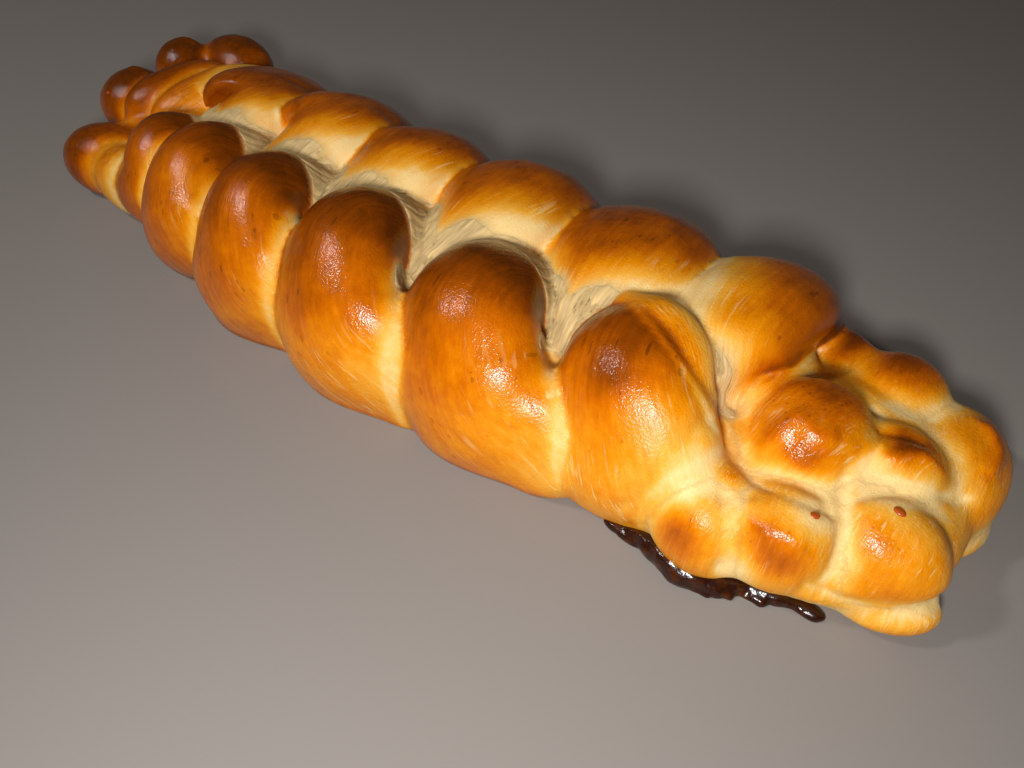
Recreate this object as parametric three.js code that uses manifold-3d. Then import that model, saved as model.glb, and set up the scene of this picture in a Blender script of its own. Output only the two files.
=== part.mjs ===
// Braided loaf: one plaited white loaf, baked as a single solid, lying on its flat base.
//
// Rope-like strands cross over and under each other along the loaf. What is seen of each
// strand between two crossings is a fat roll: rolls of the near side climb from the base and
// end in a rounded tip on the crest, and rolls of the far side come over the top and dive
// between those tips. Both ends finish in a cluster of small knobs, where the strands were
// pinched and tucked under. All rolls and knobs are baked together, so they join as one body.
//
// Millimetres. +X runs along the loaf to its broad end, +Y to its far side, +Z up.

import * as THREE from 'three';
import { mergeVertices } from 'three/addons/utils/BufferGeometryUtils.js';
import Module from 'manifold-3d';

const wasm = await Module();
wasm.setup();

// ---- driving dimensions -------------------------------------------------------------
const AXIS = { y: -4, z: 14 };        // the line that the strands wind around
const FAR_LEAN = 16;                  // degrees that a far strand lies over the one before it
const NEAR_LEANS = [-12, -8, 4, 16, 16];  // the same for a near strand, from foot to tip
const ROLL_RINGS = 13;                // sections along a roll
const ROLL_SIDES = 16;                // corners of a section
const CAP_RINGS = 3;                  // extra sections in each rounded end
const KNOB_RINGS = 9;
const KNOB_SIDES = 12;
const BASE_Z = 0;                     // the tray side is cut flat here
const CUT_DEPTH = 60;                 // how far the cutting block reaches below the base
const CUT_REACH = 500;                // its side length in plan

// Near-side rolls, small end first. x and width (half the strand's width) are given at the
// foot, the belly, the shoulder and the tip; thick is half the strand's thickness; foot and
// tip are y, and crest is the height of the strand's middle under its rounded tip.
const NEAR_ROLLS = [
  { x: [-117, -117, -118, -120], width: [20, 18, 16, 12], thick: 12, foot: -44, crest: 30, tip: -18 },
  { x: [-80, -85, -90, -94], width: [31, 27, 22, 15], thick: 15, foot: -48, crest: 33, tip: -18 },
  { x: [-30, -42, -48, -53], width: [36, 31, 25, 17], thick: 16, foot: -52, crest: 38, tip: -22 },
  { x: [22, 4, -6, -12], width: [38, 31, 27, 19], thick: 17, foot: -50, crest: 38, tip: -18 },
  { x: [68, 52, 43, 37], width: [34, 31, 28, 22], thick: 18, foot: -43, crest: 37, tip: -14 },
  { x: [109, 100, 95, 86], width: [27, 28, 26, 19], thick: 17, foot: -32, crest: 36, tip: -6 },
];

// Far-side rolls. x and width at the foot, the crest and the inner end, which dives between
// two near tips at dive: [y, z].
const FAR_ROLLS = [
  { x: [-122, -108, -116], width: [26, 22, 9], thick: 14, foot: 29, crest: 30, dive: [-20, 26] },
  { x: [-76, -66, -72], width: [26, 23, 8], thick: 15, foot: 31, crest: 34, dive: [-24, 28] },
  { x: [-34, -30, -34], width: [25, 22, 8], thick: 15, foot: 32, crest: 34, dive: [-32, 28] },
  { x: [10, 13, 8], width: [26, 25, 9], thick: 15, foot: 37, crest: 35, dive: [-20, 30] },
  { x: [56, 62, 65], width: [27, 25, 10], thick: 15, foot: 41, crest: 35, dive: [-20, 28] },
  { x: [101, 101, 106], width: [24, 20, 9], thick: 15, foot: 43, crest: 35, dive: [-6, 28] },
];

// The pointed flap folded over the last near roll, as points of its spine.
const FLAP = {
  points: [[79, -8, 43], [88, -11, 46], [98, -15, 43], [107, -19, 37]],
  widths: [7, 10, 10, 6],
  thicks: [7, 8, 8, 6],
  leans: [0, 0, 0, 0],
};

// Knobs of the two ends: place [x, y, z], half sizes [x, y, z], and turn about Z in degrees.
const BROAD_END = [
  { at: [119, 9, 24], half: [10, 19, 12], turn: -14 },
  { at: [125, -31, 24], half: [7, 6, 8], turn: 0 },
  { at: [136, -3, 25], half: [17, 19, 18], turn: -20 },
  { at: [157, 3, 20], half: [17, 17, 16], turn: -10 },
  { at: [130, 38, 15], half: [17, 13, 13], turn: -10 },
  { at: [149, 34, 17], half: [16, 17, 15], turn: 0 },
  { at: [171, 22, 14], half: [16, 23, 16], turn: 14 },
  { at: [143, -31, 17], half: [17, 14, 17], turn: 10 },
  { at: [164, -17, 16], half: [19, 15, 18], turn: 0 },
  { at: [125, -38, 14], half: [16, 13, 17], turn: 0 },
  { at: [170, -21, 7], half: [17, 12, 9], turn: 10 },
  { at: [149, -28, 6], half: [24, 10, 8], turn: 14 },
  { at: [178, 14, 6], half: [11, 15, 8], turn: 0 },
];
const SMALL_END = [
  { at: [-160, -40, 11], half: [19, 16, 15], turn: 20 },
  { at: [-184, -9, 14], half: [17, 16, 15], turn: 0 },
  { at: [-190, 22, 15], half: [14, 14, 15], turn: 0 },
  { at: [-172, 39, 16], half: [20, 14, 14], turn: 0 },
  { at: [-163, 2, 22], half: [12, 26, 12], turn: -12 },
  { at: [-144, 8, 24], half: [12, 30, 12], turn: -14 },
  { at: [-136, -44, 12], half: [22, 12, 14], turn: 0 },
];

// The crumb under the rolls and under the broad end's knobs leaves no hollow between them.
const CRUMB = [
  { at: [0, -6, 10], half: [180, 50, 26], turn: 0 },
  { at: [146, 0, 14], half: [38, 42, 18], turn: 0 },
  { at: [-160, 4, 10], half: [28, 40, 16], turn: 0 },
];

const CRUST = { name: 'egg-washed crust', color: 0xb8742c, roughness: 0.42, metalness: 0 };

// ---- solids -------------------------------------------------------------------------

// A three.js geometry as a manifold-3d solid.
function toSolid(geometry) {
  geometry.deleteAttribute('normal');
  geometry.deleteAttribute('uv');
  const welded = mergeVertices(geometry, 1e-4);
  return new wasm.Manifold(new wasm.Mesh({
    numProp: 3,
    vertProperties: new Float32Array(welded.attributes.position.array),
    triVerts: new Uint32Array(welded.index.array),
  }));
}

// A manifold-3d solid as a three.js geometry.
function toGeometry(solid) {
  const mesh = solid.getMesh();
  const geometry = new THREE.BufferGeometry();
  geometry.setAttribute('position', new THREE.BufferAttribute(mesh.vertProperties, 3));
  geometry.setIndex(new THREE.BufferAttribute(mesh.triVerts, 1));
  geometry.computeVertexNormals();
  return geometry;
}

// A value between the entries of a list, eased along a Catmull-Rom spline as the spine is.
function along(values, t) {
  const curve = new THREE.CatmullRomCurve3(
    values.map((value) => new THREE.Vector3(value, 0, 0)), false, 'catmullrom', 0.5);
  return curve.getPoint(t).x;
}

// One elliptical section of a roll, its width across the strand and its thickness
// pointing away from the loaf's axis, leaned over the strand before it.
function section(centre, tangent, width, thick, lean) {
  const outward = new THREE.Vector3(0, centre.y - AXIS.y, centre.z - AXIS.z);
  outward.addScaledVector(tangent, -outward.dot(tangent)).normalize();
  const across = new THREE.Vector3().crossVectors(tangent, outward);
  const turn = THREE.MathUtils.degToRad(lean) * -Math.sign(across.x);
  across.applyAxisAngle(tangent, turn);
  outward.applyAxisAngle(tangent, turn);
  const ring = [];
  for (let side = 0; side < ROLL_SIDES; side += 1) {
    const angle = (2 * Math.PI * side) / ROLL_SIDES;
    ring.push(centre.clone()
      .addScaledVector(across, width * Math.cos(angle))
      .addScaledVector(outward, thick * Math.sin(angle)));
  }
  return ring;
}

// A closed roll along a spine of points, with rounded ends.
function roll(points, widths, thicks, leans) {
  const spine = new THREE.CatmullRomCurve3(
    points.map((point) => new THREE.Vector3(...point)), false, 'catmullrom', 0.5);
  const rings = [];
  const addCap = (t, direction) => {
    const end = spine.getPoint(t);
    const tangent = spine.getTangent(t);
    const width = along(widths, t);
    const thick = along(thicks, t);
    const lean = along(leans, t);
    const steps = [];
    for (let step = 0; step < CAP_RINGS; step += 1) {
      const angle = (Math.PI / 2) * (step + 0.5) / (CAP_RINGS + 0.5);
      const centre = end.clone().addScaledVector(tangent, direction * thick * Math.cos(angle));
      steps.push(section(centre, tangent, width * Math.sin(angle), thick * Math.sin(angle), lean));
    }
    if (direction > 0) steps.reverse();
    rings.push(...steps);
    return end.addScaledVector(tangent, direction * thick);
  };
  const first = addCap(0, -1);
  for (let i = 0; i <= ROLL_RINGS; i += 1) {
    const t = i / ROLL_RINGS;
    rings.push(section(
      spine.getPoint(t), spine.getTangent(t), along(widths, t), along(thicks, t), along(leans, t)));
  }
  const last = addCap(1, 1);
  return closeRings(rings, first, last);
}

// Stitches rings of equal length into one closed solid between two end points.
function closeRings(rings, first, last) {
  const sides = rings[0].length;
  const vertices = [first, ...rings.flat(), last];
  const faces = [];
  const corner = (ring, side) => 1 + ring * sides + (side % sides);
  for (let side = 0; side < sides; side += 1) {
    faces.push(0, corner(0, side + 1), corner(0, side));
    for (let ring = 0; ring + 1 < rings.length; ring += 1) {
      faces.push(corner(ring, side), corner(ring, side + 1), corner(ring + 1, side + 1));
      faces.push(corner(ring, side), corner(ring + 1, side + 1), corner(ring + 1, side));
    }
    faces.push(corner(rings.length - 1, side), corner(rings.length - 1, side + 1), vertices.length - 1);
  }
  const geometry = new THREE.BufferGeometry().setFromPoints(vertices);
  geometry.setIndex(faces);
  const solid = toSolid(geometry);
  return solid.volume() > 0 ? solid : toSolid(flipped(geometry));
}

// The outer skin of a geometry: small gaps sealed between the rolls are filled with crumb.
function outerSkin(geometry) {
  const index = geometry.index.array;
  const group = Array.from({ length: geometry.attributes.position.count }, (_, i) => i);
  const root = (i) => {
    let top = i;
    while (group[top] !== top) top = group[top];
    group[i] = top;
    return top;
  };
  for (let i = 0; i < index.length; i += 3) {
    group[root(index[i + 1])] = root(index[i]);
    group[root(index[i + 2])] = root(index[i]);
  }
  const shells = new Map();
  for (let i = 0; i < index.length; i += 3) {
    const key = root(index[i]);
    if (!shells.has(key)) shells.set(key, []);
    shells.get(key).push(index[i], index[i + 1], index[i + 2]);
  }
  const largest = [...shells.values()].reduce((a, b) => (a.length > b.length ? a : b));
  geometry.setIndex(largest);
  return geometry;
}

function flipped(geometry) {
  const turned = geometry.clone();
  const index = turned.index.array;
  for (let i = 0; i < index.length; i += 3) {
    [index[i + 1], index[i + 2]] = [index[i + 2], index[i + 1]];
  }
  return turned;
}

// A near-side roll: foot on the tray, belly out to the side, tip rounded on the crest.
function nearRoll({ x, width, thick, foot, crest, tip }) {
  const points = [
    [x[0], foot + 4, 2],
    [x[1], foot - 1, 15],
    [x[2], foot + 2, crest * 0.72],
    [x[3], tip - 12, crest],
    [x[3] + 7, tip + 15, crest * 0.55],
  ];
  const thicks = [0.9, 1, 1, 1, 0.6].map((share) => share * thick);
  return roll(points, [...width, width[3] * 0.6], thicks, NEAR_LEANS);
}

// A far-side roll: foot on the tray behind, over the top, then down between two near tips.
function farRoll({ x, width, thick, foot, crest, dive }) {
  const points = [
    [x[0], foot - 4, 4],
    [x[0], foot, 18],
    [x[0] * 0.6 + x[1] * 0.4, foot - 14, crest * 0.92],
    [x[1], 2, crest],
    [x[2], ...dive],
  ];
  const widths = [width[0] * 0.9, width[0], width[0], width[1], width[2]];
  const thicks = [0.9, 1, 1, 0.95, 0.6].map((share) => share * thick);
  return roll(points, widths, thicks, points.map(() => FAR_LEAN));
}

// An egg-shaped knob.
function knob({ at, half, turn }) {
  const geometry = new THREE.SphereGeometry(1, KNOB_SIDES, KNOB_RINGS);
  geometry.rotateX(Math.PI / 2);
  geometry.scale(...half);
  geometry.rotateZ(THREE.MathUtils.degToRad(turn));
  geometry.translate(...at);
  return toSolid(geometry);
}

function buildLoaf() {
  const pieces = [
    ...CRUMB.map(knob),
    ...NEAR_ROLLS.map(nearRoll),
    ...FAR_ROLLS.map(farRoll),
    roll(FLAP.points, FLAP.widths, FLAP.thicks, FLAP.leans),
    ...BROAD_END.map(knob),
    ...SMALL_END.map(knob),
  ];
  const whole = pieces.reduce((joined, piece) => joined.add(piece));
  const tray = new THREE.BoxGeometry(CUT_REACH, CUT_REACH, CUT_DEPTH);
  tray.translate(0, 0, BASE_Z - CUT_DEPTH / 2);
  return outerSkin(toGeometry(whole.subtract(toSolid(tray))));
}

// The origin is the middle of the loaf's footprint, on the face that it rests on.
const geometry = buildLoaf();
geometry.computeBoundingBox();
const middle = geometry.boundingBox.getCenter(new THREE.Vector3());
geometry.translate(-middle.x, -middle.y, -BASE_Z);

const loaf = new THREE.Mesh(geometry, new THREE.MeshStandardMaterial(CRUST));
loaf.name = 'loaf';

const bread = new THREE.Group();
bread.add(loaf);

export default bread;
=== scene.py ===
"""Looks of a braided loaf: egg-washed crust, torn crumb, burnt wash and blisters, on a plain stage."""

import math

import bmesh
import bpy
import numpy as np
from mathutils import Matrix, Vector
from mathutils.bvhtree import BVHTree


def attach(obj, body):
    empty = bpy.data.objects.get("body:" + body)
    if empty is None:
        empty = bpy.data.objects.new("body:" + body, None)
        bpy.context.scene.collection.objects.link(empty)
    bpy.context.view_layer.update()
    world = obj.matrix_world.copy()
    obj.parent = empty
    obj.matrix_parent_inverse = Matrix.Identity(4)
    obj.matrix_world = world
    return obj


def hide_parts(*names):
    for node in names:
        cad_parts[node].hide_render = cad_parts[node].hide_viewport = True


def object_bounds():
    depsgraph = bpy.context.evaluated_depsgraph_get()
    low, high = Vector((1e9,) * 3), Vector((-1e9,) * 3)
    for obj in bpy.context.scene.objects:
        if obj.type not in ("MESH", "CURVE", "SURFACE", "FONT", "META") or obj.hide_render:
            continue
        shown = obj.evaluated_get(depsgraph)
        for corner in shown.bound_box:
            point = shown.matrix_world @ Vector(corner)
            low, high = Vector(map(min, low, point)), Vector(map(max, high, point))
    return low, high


bl_info = {
    "name": "Braided loaf",
    "version": (1, 0, 0),
    "blender": (4, 5, 0),
    "location": "3D View > Sidebar > Loaf",
    "description": "Builds a plaited, egg-washed loaf and a plain stage for it",
    "category": "Add Mesh",
}

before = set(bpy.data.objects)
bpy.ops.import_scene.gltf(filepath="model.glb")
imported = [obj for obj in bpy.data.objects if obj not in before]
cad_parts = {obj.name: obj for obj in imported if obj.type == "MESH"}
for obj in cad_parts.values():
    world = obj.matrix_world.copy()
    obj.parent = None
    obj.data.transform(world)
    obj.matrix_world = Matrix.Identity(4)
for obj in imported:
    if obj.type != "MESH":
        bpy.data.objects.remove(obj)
CAD_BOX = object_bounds()
BODY = "root"
NODE = "loaf"
MM = 0.001

# ---------------------------------------------------------------------------------------
# The loaf's shape, in millimetres, as in the CAD model. +X runs along the loaf to its
# broad end, +Y to its far side, +Z up. MIDDLE is the middle of the footprint, which is
# the origin of the finished part.
# ---------------------------------------------------------------------------------------
MIDDLE = (-7.48, -5.3)

# Near-side rolls, small end first: x and half width at foot, belly, shoulder and tip,
# half thickness, y of the foot, height of the crest, y of the tip.
NEAR_ROLLS = [
    ((-117, -117, -118, -120), (20, 18, 16, 12), 12, -44, 30, -18),
    ((-80, -85, -90, -94), (31, 27, 22, 15), 15, -48, 33, -18),
    ((-30, -42, -48, -53), (36, 31, 25, 17), 16, -52, 38, -22),
    ((22, 4, -6, -12), (38, 31, 27, 19), 17, -50, 38, -18),
    ((68, 52, 43, 37), (34, 31, 28, 22), 18, -43, 37, -14),
    ((109, 100, 95, 86), (27, 28, 26, 19), 17, -32, 36, -6),
]

# Far-side rolls: x and half width at foot, crest and inner end, half thickness,
# y of the foot, height of the crest, y and z of the inner end.
FAR_ROLLS = [
    ((-122, -108, -116), (26, 22, 9), 14, 29, 30, (-20, 26)),
    ((-76, -66, -72), (26, 23, 8), 15, 31, 34, (-24, 28)),
    ((-34, -30, -34), (25, 22, 8), 15, 32, 34, (-32, 28)),
    ((10, 13, 8), (26, 25, 9), 15, 37, 35, (-20, 30)),
    ((56, 62, 65), (27, 25, 10), 15, 41, 35, (-20, 28)),
    ((101, 101, 106), (24, 20, 9), 15, 43, 35, (-6, 28)),
]

# The pointed flap that folded over the last near roll: points, half widths, half thicknesses.
LEAF = (
    [(79, -8, 43), (88, -11, 46), (98, -15, 43), (107, -19, 37)],
    [7, 10, 10, 6],
    [7, 8, 8, 6],
    [0, 0, 0, 0],
)

# Knobs of the two ends: place, half sizes, turn about Z in degrees.
BROAD_END_KNOBS = [
    ((119, 9, 24), (10, 19, 12), -14),
    ((125, -31, 24), (7, 6, 8), 0),
    ((136, -3, 25), (17, 19, 18), -20),
    ((157, 3, 20), (17, 17, 16), -10),
    ((130, 38, 15), (17, 13, 13), -10),
    ((149, 34, 17), (16, 17, 15), 0),
    ((171, 22, 14), (16, 23, 16), 14),
    ((143, -31, 17), (17, 14, 17), 10),
    ((164, -17, 16), (19, 15, 18), 0),
    ((125, -38, 14), (16, 13, 17), 0),
    ((170, -21, 7), (17, 12, 9), 10),
    ((149, -28, 6), (24, 10, 8), 14),
    ((178, 14, 6), (11, 15, 8), 0),
]
SMALL_END_KNOBS = [
    ((-160, -40, 11), (19, 16, 15), 20),
    ((-184, -9, 14), (17, 16, 15), 0),
    ((-190, 22, 15), (14, 14, 15), 0),
    ((-172, 39, 16), (20, 14, 14), 0),
    ((-163, 2, 22), (12, 26, 12), -12),
    ((-144, 8, 24), (12, 30, 12), -14),
    ((-136, -44, 12), (22, 12, 14), 0),
]
KNOBS = BROAD_END_KNOBS + SMALL_END_KNOBS

# How much of the full lean a near and a far roll have at each point, from the foot up.
NEAR_LEANS = (-0.75, -0.5, 0.25, 1, 1)
FAR_LEANS = (1, 1, 1, 1, 1)

# The crumb that fills the space under the rolls.
CRUMB = [
    ((0, -6, 10), (180, 50, 26), 0),
    ((146, 0, 14), (38, 42, 18), 0),
    ((-160, 4, 10), (28, 40, 16), 0),
]


# ---------------------------------------------------------------------------------------
# Sizes and colours a user may change
# ---------------------------------------------------------------------------------------
class LoafShape(bpy.types.PropertyGroup):
    """How the dough is shaped."""

    axis_y: bpy.props.FloatProperty(
        name="Axis Y", description="Y of the line that the strands wind around",
        default=-4 * MM, unit="LENGTH")
    axis_z: bpy.props.FloatProperty(
        name="Axis Z", description="Height of the line that the strands wind around",
        default=14 * MM, unit="LENGTH")
    lean: bpy.props.FloatProperty(
        name="Lean", description="How far a strand's crest lies over the strand before it",
        default=math.radians(16), subtype="ANGLE")
    voxel: bpy.props.FloatProperty(
        name="Skin grid", description="Spacing of the crust's mesh",
        default=1.25 * MM, unit="LENGTH", precision=5)
    lumps: bpy.props.FloatProperty(
        name="Lumps", description="Depth of the uneven swell of the dough",
        default=0.9 * MM, unit="LENGTH", precision=5)


class LoafLooks(bpy.types.PropertyGroup):
    """Colours of the baked dough, as sRGB hex."""

    pale: bpy.props.StringProperty(
        name="Pale", description="Stretched dough that took no egg wash", default="#F4D08A")
    straw: bpy.props.StringProperty(
        name="Straw", description="Lightly baked dough", default="#F0AC38")
    amber: bpy.props.StringProperty(
        name="Amber", description="Golden crust", default="#E58B04")
    tan: bpy.props.StringProperty(
        name="Tan", description="Orange-brown crust", default="#C46300")
    brown: bpy.props.StringProperty(
        name="Brown", description="Crowns of the rolls", default="#8F4100")
    dark: bpy.props.StringProperty(
        name="Dark", description="Darkest crust", default="#5E2A00")
    # the crumb colour below is the torn dough's tone, made greyer and darker as painted shade of the valleys
    # where it lies
    crumb: bpy.props.StringProperty(
        name="Crumb", description="Torn inner dough", default="#C4A672")
    # the colour below is painted shade for the holes of the torn dough and the gaps between its fibres
    pit_shade: bpy.props.StringProperty(
        name="Pit", description="Small holes in the torn dough", default="#8A6C3E")
    burnt: bpy.props.StringProperty(
        name="Burnt", description="Caramelised wash at the foot", default="#2A0F05")
    blister: bpy.props.StringProperty(
        name="Blister", description="Small blisters in the wash", default="#A8480A")
    underside: bpy.props.StringProperty(
        name="Underside", description="Tray side of the loaf", default="#A9662B")


class LoafStage(bpy.types.PropertyGroup):
    """Floor, lights and camera."""

    floor: bpy.props.StringProperty(
        name="Floor", description="Colour of the floor", default="#88817B")
    key: bpy.props.FloatProperty(
        name="Key light", description="Power of the key light", default=1.2, unit="POWER")
    soft: bpy.props.FloatProperty(
        name="Soft light", description="Power of the light high on the left", default=2.2,
        unit="POWER")
    fill: bpy.props.FloatProperty(
        name="Fill light", description="Brightness of the surrounding light", default=0.045)
    lens: bpy.props.FloatProperty(
        name="Lens", description="Focal length on a 36 mm sensor", default=27.04)


# ---------------------------------------------------------------------------------------
# Small helpers
# ---------------------------------------------------------------------------------------
def colour(text):
    """An sRGB hex colour as linear RGBA."""
    parts = [int(text[i:i + 2], 16) / 255 for i in (1, 3, 5)]
    return tuple(
        p / 12.92 if p <= 0.04045 else ((p + 0.055) / 1.055) ** 2.4 for p in parts) + (1.0,)


# Nodes that are used again and again.
MATH = "ShaderNodeMath"
VECTOR_MATH = "ShaderNodeVectorMath"
NOISE = "ShaderNodeTexNoise"
MAPPING = "ShaderNodeMapping"
RANGE = "ShaderNodeMapRange"
MIX = "ShaderNodeMix"
BUMP = "ShaderNodeBump"


def add(tree, kind, inputs=None, stops=(), **settings):
    """Adds a node with its settings and its colour stops, and sets or links its inputs. An input
    given as a node is linked to that node's first output in use."""
    node = tree.nodes.new(kind)
    for name, value in settings.items():
        setattr(node, name, value)
    if stops:
        elements = node.color_ramp.elements
        while len(elements) < len(stops):
            elements.new(0.5)
        for element, (at, tone) in zip(elements, stops):
            element.position = at
            element.color = colour(tone)
    for key, value in (inputs or {}).items():
        if isinstance(value, bpy.types.Node):
            value = next(out for out in value.outputs if out.enabled)
        if isinstance(value, bpy.types.NodeSocket):
            tree.links.new(value, node.inputs[key])
        else:
            node.inputs[key].default_value = value
    return node


def ease(low, high, value):
    """0 below low, 1 above high, smooth between."""
    t = np.clip((value - low) / (high - low), 0, 1)
    return t * t * (3 - 2 * t)


def noise(points, size, seed):
    """Smooth noise from -1 to 1 on an (n, 3) array; size is the width of its lumps. The large
    odd numbers stir the corners of the lattice together, so that no pattern shows."""
    p = np.asarray(points) / size
    cell = np.floor(p).astype(np.int64)
    f = p - cell
    f = f * f * (3 - 2 * f)
    total = np.zeros(len(p))
    for corner in range(8):
        step = np.array([corner & 1, corner >> 1 & 1, corner >> 2 & 1])
        q = cell + step
        mixed = (q[:, 0] * 73856093) ^ (q[:, 1] * 19349663) ^ (q[:, 2] * 83492791)
        mixed = mixed ^ (seed * 2654435761)
        mixed = (mixed ^ (mixed >> 13)) * 1274126177 & 0x7FFFFFFF
        mixed = (mixed ^ (mixed >> 16)) & 0xFFFF
        weight = np.prod(np.where(step, f, 1 - f), axis=1)
        total += weight * (mixed / 32767.5 - 1)
    return total


def link(obj):
    """Puts an object in the scene."""
    bpy.context.scene.collection.objects.link(obj)
    return obj


def evaluated(obj, name):
    """The object's evaluated shape as a new plain mesh object; the old one is removed."""
    graph = bpy.context.evaluated_depsgraph_get()
    mesh = bpy.data.meshes.new_from_object(obj.evaluated_get(graph))
    bpy.data.objects.remove(obj)
    mesh.name = name
    return link(bpy.data.objects.new(name, mesh))


def coordinates(mesh):
    """The places of a mesh's vertices, as an (n, 3) array in metres."""
    co = np.empty(len(mesh.vertices) * 3)
    mesh.vertices.foreach_get("co", co)
    return co.reshape(-1, 3)


def normals(mesh):
    """The directions that a mesh's vertices face."""
    out = np.empty(len(mesh.vertices) * 3)
    mesh.vertices.foreach_get("normal", out)
    return out.reshape(-1, 3)


def move_to(mesh, co):
    """Moves a mesh's vertices to new places, given in metres."""
    mesh.vertices.foreach_set("co", co.ravel())
    mesh.update()


def read_numbers(mesh, name):
    """The number that a mesh keeps for each vertex under a name."""
    values = np.empty(len(mesh.vertices), np.float32)
    mesh.attributes[name].data.foreach_get("value", values)
    return values


def store(mesh, name, values):
    """Keeps a number or a vector for each vertex, in place of any kept under that name."""
    if name in mesh.attributes:
        mesh.attributes.remove(mesh.attributes[name])
    kind = "FLOAT" if values.ndim == 1 else "FLOAT_VECTOR"
    attribute = mesh.attributes.new(name, kind, "POINT")
    key = "value" if kind == "FLOAT" else "vector"
    attribute.data.foreach_set(key, np.ascontiguousarray(values, np.float32).ravel())


# ---------------------------------------------------------------------------------------
# The strands' routes
# ---------------------------------------------------------------------------------------
def near_route(roll):
    """Points, half widths, half thicknesses and leans of a near-side roll, from foot to tip."""
    x, width, thick, foot, crest, tip = roll
    points = [
        (x[0], foot + 4, 2),
        (x[1], foot - 1, 15),
        (x[2], foot + 2, crest * 0.72),
        (x[3], tip - 12, crest),
        (x[3] + 7, tip + 15, crest * 0.55),
    ]
    return points, [*width, width[3] * 0.6], [thick * k for k in (0.9, 1, 1, 1, 0.6)], NEAR_LEANS


def far_route(roll):
    """The same for a far-side roll, from its foot over the top to its inner end."""
    x, width, thick, foot, crest, dive = roll
    points = [
        (x[0], foot - 4, 4),
        (x[0], foot, 18),
        (x[0] * 0.6 + x[1] * 0.4, foot - 14, crest * 0.92),
        (x[1], 2, crest),
        (x[2], *dive),
    ]
    widths = [width[0] * 0.9, width[0], width[0], width[1], width[2]]
    return points, widths, [thick * k for k in (0.9, 1, 1, 0.95, 0.6)], FAR_LEANS


def with_caps(route):
    """Lengthens a route at both ends by the room its rounded ends take."""
    points, *sizes = (np.array(part, float) for part in route)
    thicks = sizes[1]
    first = points[0] - points[1]
    last = points[-1] - points[-2]
    first *= thicks[0] / np.linalg.norm(first)
    last *= thicks[-1] / np.linalg.norm(last)
    points = np.vstack([points[0] + first, points, points[-1] + last])
    return points, *(np.concatenate([part[:1], part, part[-1:]]) for part in sizes)


def spline(values, count):
    """Catmull-Rom values through a list of points."""
    values = np.asarray(values, float).reshape(len(values), -1)
    padded = np.vstack([2 * values[0] - values[1], values, 2 * values[-1] - values[-2]])
    t = np.linspace(0, len(values) - 1, count)
    i = np.minimum(t.astype(int), len(values) - 2)
    f = (t - i)[:, None]
    a, b, c, d = padded[i], padded[i + 1], padded[i + 2], padded[i + 3]
    return b + 0.5 * f * (c - a + f * (2 * a - 5 * b + 4 * c - d + f * (3 * b - a - 3 * c + d)))


ROUTES = [near_route(r) for r in NEAR_ROLLS] + [far_route(r) for r in FAR_ROLLS] + [LEAF]
NEAR = range(len(NEAR_ROLLS))
FAR = range(len(NEAR_ROLLS), len(NEAR_ROLLS) + len(FAR_ROLLS))
FLAP = len(ROUTES) - 1
BUMPS = range(len(ROUTES), len(ROUTES) + len(KNOBS))
LAST_NEAR = NEAR[-1]
LAST_RING = 0.02  # width of a strand's last ring, as a share of its full width


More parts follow.
